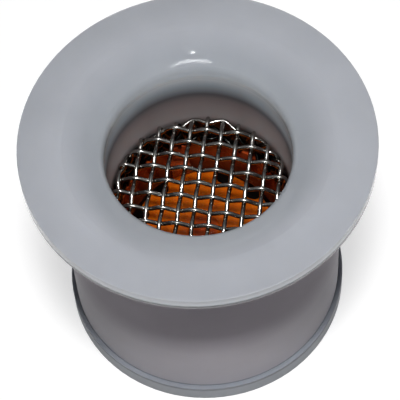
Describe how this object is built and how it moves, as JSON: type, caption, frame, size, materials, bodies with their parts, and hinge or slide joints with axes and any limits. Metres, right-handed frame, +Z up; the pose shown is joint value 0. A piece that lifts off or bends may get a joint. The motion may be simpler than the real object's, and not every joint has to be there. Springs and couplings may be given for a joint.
{
  "type": "flow regulator",
  "caption": "Flanged plastic bush with a bell-mouth that holds a woven wire strainer and a regulating insert with an O-ring, to hold the flow of a tap or hose steady.",
  "frame": {"origin": "centre of the bottom face, on the flow axis", "axes": "+Z up the flow axis from the outlet to the flange; water flows along -Z"},
  "size_m": [0.0184, 0.0184, 0.0144],
  "materials": {
    "white_plastic": "moulded, natural white, satin",
    "steel_wire": "drawn bright wire, plain weave",
    "orange_plastic": "moulded, orange",
    "black_rubber": "moulded, black"
  },
  "bodies": {
    "root": {"body": "white_plastic", "strainer": "steel_wire", "regulator_seat": "orange_plastic", "regulator_core": "orange_plastic", "o_ring": "black_rubber"}
  },
  "joints": []
}
